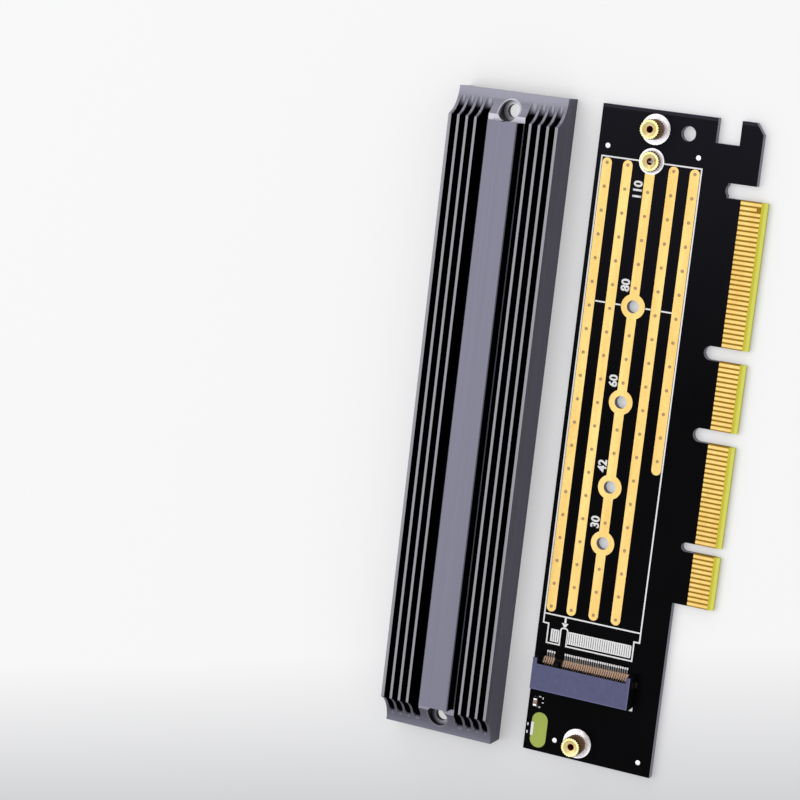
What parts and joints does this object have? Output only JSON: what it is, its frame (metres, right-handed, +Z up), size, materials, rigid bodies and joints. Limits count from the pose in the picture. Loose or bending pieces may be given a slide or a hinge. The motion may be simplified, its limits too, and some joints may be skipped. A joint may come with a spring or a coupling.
{
  "type": "nvme adapter card",
  "caption": "Long black adapter board with gold edge contacts, a drive socket and brass standoffs, lying beside its ribbed aluminium heatsink cover.",
  "frame": {"origin": "middle of the pair's footprint, on the surface that the board and the heatsink lie on", "axes": "+X from the heatsink across the board to its edge contacts, +Y along both from the socket end to the hooked end, +Z up"},
  "size_m": [0.0684, 0.1376, 0.0094],
  "materials": {
    "board": "black solder mask, satin gloss",
    "gold_plating": "flat gold plate",
    "brass": "turned and knurled, bright",
    "solder": "bright tin",
    "socket_plastic": "moulded, satin",
    "contact_springs": "plated copper alloy",
    "chip_ceramic": "sintered ceramic",
    "heatsink_metal": "grey anodised, satin"
  },
  "bodies": {
    "root": {"back_fingers_1": "gold_plating", "back_fingers_2": "gold_plating", "back_fingers_3": "gold_plating", "back_fingers_4": "gold_plating", "chip_capacitor_body": "chip_ceramic", "chip_capacitor_ends": "solder", "chip_capacitor_pads": "solder", "circuit_board": "board", "cover_standoff_far": "brass", "cover_standoff_far_solder": "solder", "cover_standoff_near": "brass", "cover_standoff_near_solder": "solder", "drive_standoff": "brass", "drive_standoff_solder": "solder", "front_fingers_1": "gold_plating", "front_fingers_2": "gold_plating", "front_fingers_3": "gold_plating", "front_fingers_4": "gold_plating", "heat_strip_1": "gold_plating", "heat_strip_2": "gold_plating", "heat_strip_3": "gold_plating", "heat_strip_4": "gold_plating", "heat_strip_5": "gold_plating", "heatsink": "heatsink_metal", "socket_hold_down_left": "solder", "socket_hold_down_right": "solder", "socket_housing": "socket_plastic", "socket_lower_springs": "contact_springs", "socket_upper_springs": "contact_springs"}
  },
  "joints": []
}
